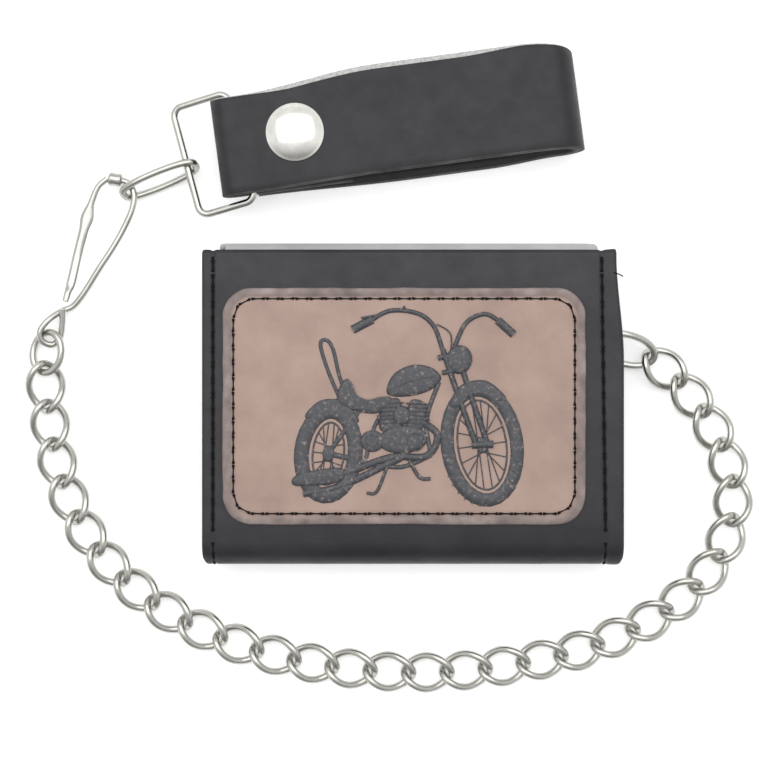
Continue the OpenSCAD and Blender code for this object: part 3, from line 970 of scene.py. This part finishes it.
def build_rings():
    """The ring at the grommet, the ring at the hook's eye, and the link at the loop."""
    hole, first = PIVOT["attach_ring_swing"], HINGES[0]
    flat = Vector((first.x - hole.x, first.y - hole.y, 0)).normalized()
    start, stop = hole - 0.4 * flat + 0.6 * UP, first + HALF_GAP * flat + 0.3 * UP
    wire_ring("attachment_ring", "attach_ring", "attach_ring_body", start, stop, 4.6, (46, 26))

    eye, last = PIVOT["hook_tilt"], HINGES[-1]
    u = (eye - last).normalized()
    start, stop = last - HALF_GAP * u, eye + HOLD_GAP * u
    wire_ring("chain_end_ring", "end_ring", "end_ring_body", start, stop, 4.3, (-20, -26))

    corner, hold = PIVOT["oval_link_tilt"], PIVOT["loop_swing"]
    u = (hold - corner).normalized()
    start, stop = corner - HOLD_GAP * u, hold + HOLD_GAP * u
    wire_ring("hook_oval_link", "oval_link", "oval_link_body", start, stop, 3.4, (60, 60), 0.6)


def build_grommet():
    """The eyelet with its rolled rim, and the washer behind it."""
    hole = PIVOT["attach_ring_swing"]
    bottom, top = low("grommet").z - hole.z, high("grommet").z - hole.z
    inner, outer = 3.4, 5.1
    barrel = inner + 0.45
    start = (inner, bottom + 0.1)
    profile = [start, (inner, top - 0.35), (inner + 0.25, top - 0.08), (inner + 0.7, top)]
    profile += [(outer - 0.6, top - 0.08), (outer - 0.12, top - 0.25), (outer, top - 0.42)]
    profile += [(barrel, top - 0.42), (barrel, bottom + 0.1), start]
    turned("grommet_eyelet", profile, hole, 64, "outer_flap_body", "grommet")
    start = (barrel, bottom)
    profile = [start, (outer - 0.2, bottom), (outer, bottom + 0.15), (outer, bottom + 0.38)]
    profile += [(barrel, bottom + 0.4), start]
    turned("grommet_ring", profile, hole, 64, "outer_flap_body", "grommet_washer")


HOOK_WIRE_R = 0.85
HOOK_LINE = [
    (-91.6, 25.4, 3.4), (-91.9, 21.2, 2.4), (-92.6, 18, 1.9), (-94.4, 16.1, 2.4),
    (-96.9, 17, 3.4), (-97.4, 19.6, 4), (-95.2, 22.6, 3.6), (-92.1, 24.9, 1.9),
    (-89.2, 26.2, 1.6), (-86.3, 29.6, 2), (-81.9, 36.4, 2.7), (-78.4, 41.7, 2.9),
    (-75.4, 47, 3.1), (-73.4, 51.6, 3.4), (-72.9, 55.4, 3.6),
    (-74.2, 58.2, 3.6), (-76.4, 59.1, 3.6),
]
GATE_LINE = [
    (-90.7, 27.4, 4.6), (-90.2, 29.6, 4), (-89.4, 32.6, 3), (-87.9, 39.5, 2.6),
    (-86.3, 45.6, 2.9), (-85.3, 49.3, 3), (-84, 53.6, 3.2),
    (-82.3, 57.4, 3.5), (-79.9, 59.5, 3.6),
]
# half width and half thickness of the gate at each of its points
GATE_SIZE = [
    (0.8, 0.5), (0.9, 0.6), (1.2, 0.6), (1.2, 0.6), (1.25, 0.6),
    (1.7, 0.6), (0.9, 0.7), (0.8, 0.7), (0.8, 0.7),
]
SLEEVE_LEN = 3.6
SLEEVE_TURN = radians(172)
# the way along the sleeve, and its radius there
SLEEVE = [
    (0, 1.1), (0.06, 1.55), (0.16, 1.75), (0.3, 1.7), (0.5, 1.62),
    (0.7, 1.7), (0.84, 1.75), (0.94, 1.55), (1, 1.1),
]


def build_hook():
    """The bent wire with its eye, the flat spring gate and the sleeve round both ends."""
    steps = 8
    tube = sweep(spline(HOOK_LINE, steps), HOOK_WIRE_R, 14)
    place(mesh_object("hook_wire", *tube, WIRE), "hook", "nickel", "hook_body")
    line = spline(GATE_LINE, steps)
    sizes = []
    for i in range(len(line)):
        k = min(i // steps, len(GATE_SIZE) - 2)
        t = ease(i / steps - k)
        sizes.append(tuple(a + (b - a) * t for a, b in zip(GATE_SIZE[k], GATE_SIZE[k + 1])))
    tube = sweep(line, sizes, 14)
    place(mesh_object("hook_spring_arm", *tube, WIRE), "gate", "nickel", "hook_gate")
    along = Vector((cos(SLEEVE_TURN), sin(SLEEVE_TURN), 0))
    line = [Vector(HOOK_LINE[-1]) + along * (SLEEVE_LEN * t - 0.4) for t, _ in SLEEVE]
    tube = sweep(line, [(r, r) for _, r in SLEEVE], 20)
    place(mesh_object("hook_sleeve", *tube, WIRE), "hook", "nickel", "hook_collar")


def joint_axis(name):
    return Vector(next(j["axis"] for j in frame["joints"] if j["name"] == name)).normalized()


def build_strap_loop():
    """Rectangular wire loop between the oval link and the strap's fold."""
    bar = joint_axis("strap_swing")
    near = PIVOT["strap_swing"]
    across = near - (PIVOT["loop_swing"] + 2 * bar)
    flat = across - across.dot(bar) * bar
    u, depth = flat.normalized(), flat.length
    start = near - depth * u
    r, half = 2.6, 14.45
    arcs = []
    corners = ((depth - r, half - r), (r, half - r), (r, r - half), (depth - r, r - half))
    for corner, (cx, cy) in enumerate(corners):
        turns = [radians(90 * (corner + k / 8)) for k in range(9)]
        ends = [(cx + r * cos(a), cy + r * sin(a)) for a in turns]
        arcs.append([start + x * u + y * bar for x, y in ends])
    points = []
    for arc, after in zip(arcs, arcs[1:] + arcs[:1]):
        points += arc + [arc[-1].lerp(after[0], k / 8) for k in range(1, 8)]
    wire_loop("strap_wire_loop", points, start + depth / 2 * u, "loop_body", "strap_loop")


# --- strap

BEND = PIVOT["strap_open"]
STRAP_AXIS = -joint_axis("strap_open")
STRAP_ALONG = Vector((STRAP_AXIS.y, -STRAP_AXIS.x, 0))
STRAP_W, STRAP_T, STRAP_H, STRAP_LEN = 25.4, 2.8, 13, 94.9
BEND_R = STRAP_H / 2
BEND_X = STRAP_LEN - BEND_R
STRAP_START = Vector((BEND.x, BEND.y, 0)) - STRAP_ALONG * BEND_X
FOLD_OUT = WIRE_R + 0.35 + STRAP_T
TAB_END, BACK_END = 34, 9
SNAP_X, SNAP_Y = 20.9, 1.2
SEAM_X = BEND_X - 3


def on_strap(x, y, z):
    """A point x along the strap from its wire loop, y across it and z above the table."""
    return STRAP_START + STRAP_ALONG * x + STRAP_AXIS * y + UP * z


def strap_ring(skive, under_skive):
    """Section across the strap: (y, share of half its thickness), and its two cut edges.

    skive and under_skive are how far the upper and the other edge are pared back."""
    half, soft, steps = STRAP_W / 2, 0.4, 12
    inner, outer = half - skive, half - under_skive
    drop = min(0.2 + 0.3 * skive, 1.1)
    ring = [(-outer + (outer + inner) * k / steps, 1) for k in range(steps + 1)]
    corner = len(ring)
    ring += [(inner + skive * 0.5, 1 - 0.4 * drop), (half - 0.1, 1 - drop)]
    ring += [(half, -0.5), (half - 0.12, -0.85)]
    ring += [(half - soft - 2 * (half - soft) * k / steps, -1) for k in range(steps + 1)]
    ring += [(-half + 0.12, -0.85), (-half, -0.45), (-half, 0.55), (-half + 0.15, 0.9)]
    upper = set(range(corner - 1, corner + 2))
    lower = set(range(corner + 2, corner + 4)) | set(range(len(ring) - 5, len(ring)))
    return ring, upper, lower


def strap_piece(name, path, outer, skive, bow):
    """Sweeps the strap's section along (x, z) places and closes the far end.

    outer is 1 where the finished face is on the left of the path, or -1. skive
    gives how far the edge is pared at a place, and bow moves a point sideways."""
    points = []
    for i, (x, z) in enumerate(path):
        pared = skive(x)
        ring, upper, lower = strap_ring(pared, 0.3 + 0.12 * pared)
        x1, z1 = path[min(i + 1, len(path) - 1)]
        x0, z0 = path[max(i - 1, 0)]
        length = hypot(x1 - x0, z1 - z0)
        nx, nz = -(z1 - z0) / length, (x1 - x0) / length
        for y, share in ring:
            lift = outer * share * STRAP_T / 2
            points.append(on_strap(x + nx * lift, y + bow(x, y, z), z + nz * lift))
    rows, count = len(path) - 1, len(ring)
    faces = grid_faces(rows + 1, count) + [tuple(range(rows * count, (rows + 1) * count))]
    indices = [1 if k in upper else 2 if k in lower else 0 for k in range(count)] * rows + [2]
    return fix_normals(mesh_object(name, points, faces, [STRAP, RAW, EDGE], indices))


def skive_at(x):
    """The pared edge shows along the middle of the strap and fades at its ends."""
    return 0.4 + 0.9 * ease((x - 8) / 14) * ease((STRAP_LEN - 10 - x) / 20)


def front_bow(x, y, z):
    """The upper leaf bulges sideways, most along its upper edge."""
    t = min(max((STRAP_LEN - STRAP_T / 2 - x) / 14, 0), 1)
    swell = ease((x - 6) / 38) * sqrt(1 - (1 - t) ** 2)
    return (2.1 + 1.3 * y / (STRAP_W / 2)) * swell if z > BEND_R else 0


def back_bow(x, y, z):
    """The lower leaf lies a little the other way."""
    if z > BEND_R:
        return front_bow(x, y, z)
    return -0.9 * ease((x - BACK_END) / 40) * ease((BEND_X - x) / 18)


def bend_path(cx, cz, radius, start, stop, count):
    """(x, z) places round a bend; angles in degrees, 90 is straight up."""
    turns = [radians(start + (stop - start) * i / count) for i in range(count + 1)]
    return [(cx + radius * cos(a), cz + radius * sin(a)) for a in turns]


def straight(x0, x1, z, count):
    return [(x0 + (x1 - x0) * i / count, z) for i in range(count + 1)]


def build_strap():
    """The front leaf with its tab round the wire loop, and the back leaf with the bend."""
    half_t = STRAP_T / 2
    top_z = STRAP_H - half_t
    tab_z = STRAP_H - 2 * FOLD_OUT + half_t
    front = straight(SEAM_X, FOLD_OUT + 0.5, top_z, 30)
    front += bend_path(FOLD_OUT, STRAP_H - FOLD_OUT, FOLD_OUT - half_t, 90, 270, 18)
    front += straight(FOLD_OUT + 0.5, TAB_END, tab_z, 12)
    piece = strap_piece("strap_front_leather", front, -1, skive_at, front_bow)
    place(piece, "strap_front_body", "black_leather", "strap_front")
    back = straight(SEAM_X, BEND_X - 0.2, top_z, 3)
    back += bend_path(BEND_X, BEND_R, BEND_R - half_t, 90, -90, 24)
    back += straight(BEND_X - 0.5, BACK_END, half_t, 30)
    piece = strap_piece("strap_back_leather", back, 1, lambda x: 0.4, back_bow)
    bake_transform(piece)
    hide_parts("strap_fold", "strap_back")


def build_snap():
    """Domed cap with a rolled rim, its socket under the tab and its stud below."""
    centre = on_strap(SNAP_X, SNAP_Y, 0)
    axis_r, slope, steps = 0.001, radians(72), 12
    r = (high("snap_cap").x - low("snap_cap").x) / 2
    rim, rise = STRAP_H + 0.5, high("snap_cap").z - STRAP_H - 0.5
    profile = [(axis_r, rim + rise)]
    for k in range(1, steps + 1):
        a = k / steps * slope
        share = (cos(a) - cos(slope)) / (1 - cos(slope))
        profile.append((r * 0.93 * sin(a) / sin(slope), rim + rise * share))
    profile += [(r * 0.975, STRAP_H + 0.42), (r, STRAP_H + 0.25), (r, STRAP_H + 0.1)]
    profile += [(r * 0.96, STRAP_H), (axis_r, STRAP_H)]
    turned("snap_dome", profile, centre, 96, "strap_front_body", "snap_cap")
    base = low("snap_socket").z
    top = base + 1.7
    profile = [(3.2, base + 0.1), (3.35, base), (4.4, base + 0.05), (4.9, base + 0.7)]
    profile += [(5.3, top - 0.45), (5.6, top - 0.3), (5.6, top), (axis_r, top)]
    profile += [(axis_r, top - 0.4), (3.2, top - 0.4), profile[0]]
    turned("snap_socket_ring", profile, centre, 72, "strap_front_body", "snap_socket")
    base, tip = STRAP_T, high("snap_stud").z
    profile = [(axis_r, base), (5, base), (5, base + 0.2), (3.4, base + 0.25)]
    profile += [(2.3, base + 0.45), (2.3, base + 0.7), (2.7, base + 0.95), (2.4, tip - 0.05)]
    profile += [(1.4, tip), (1.2, tip - 0.35), (axis_r, tip - 0.35)]
    turned("snap_stud_post", profile, centre, 72, "strap_back_body", "snap_stud")


# --- room

CAMERA = Vector((-6.65, 5.76, 515))
LENS = 90.86
LAMP, LAMP_TARGET = Vector((-20, 260, 700)), Vector((0, 60, 0))
LAMP_SIZE, LAMP_POWER = (1150, 700), 3.7
FLOOR_HALF, FLOOR_Z = 4000, -0.02
# the world's strength by the Y of its direction: dim at the lower one, bright at the upper
SKY = {"From Min": -0.85, "From Max": -0.3, "To Min": 0.36, "To Max": 0.95}


def build_room():
    """Floor, world, one lamp and the camera."""
    square = ((-1, -1), (1, -1), (1, 1), (-1, 1))
    corners = [(x * FLOOR_HALF, y * FLOOR_HALF, FLOOR_Z) for x, y in square]
    mesh_object("floor", corners, [(0, 1, 2, 3)], floor_material())
    world = bpy.data.worlds.new("studio")
    bpy.context.scene.world = world
    world.use_nodes = True
    tree = world.node_tree
    background = tree.nodes["Background"]
    background.inputs["Color"].default_value = (1, 1, 1, 1)
    kinds = ("TexCoord", "SeparateXYZ", "MapRange")
    coords, parts, fade = (tree.nodes.new("ShaderNode" + kind) for kind in kinds)
    for name, value in SKY.items():
        fade.inputs[name].default_value = value
    connect(parts.inputs[0], coords.outputs["Generated"])
    connect(fade.inputs["Value"], parts.outputs["Y"])
    connect(background.inputs["Strength"], fade.outputs["Result"])
    data = bpy.data.lights.new("key", "AREA")
    data.shape = "RECTANGLE"
    data.size, data.size_y = (side * MM for side in LAMP_SIZE)
    data.energy = LAMP_POWER
    lamp = new_object("key", data)
    lamp.location = LAMP * MM
    lamp.rotation_euler = (LAMP_TARGET - LAMP).to_track_quat("-Z", "Y").to_euler()
    data = bpy.data.cameras.new("camera")
    data.lens, data.sensor_width, data.clip_start = LENS, 36, 0.01
    camera = new_object("camera", data)
    camera.location = CAMERA * MM
    bpy.context.scene.camera = camera
    bpy.context.scene.view_settings.view_transform = "Standard"


build_shell()
build_side_stitches()
build_stray_thread()
build_interior()
build_patch()
build_motorcycle()
build_links()
build_rings()
build_grommet()
build_hook()
build_strap_loop()
build_strap()
build_snap()
build_room()
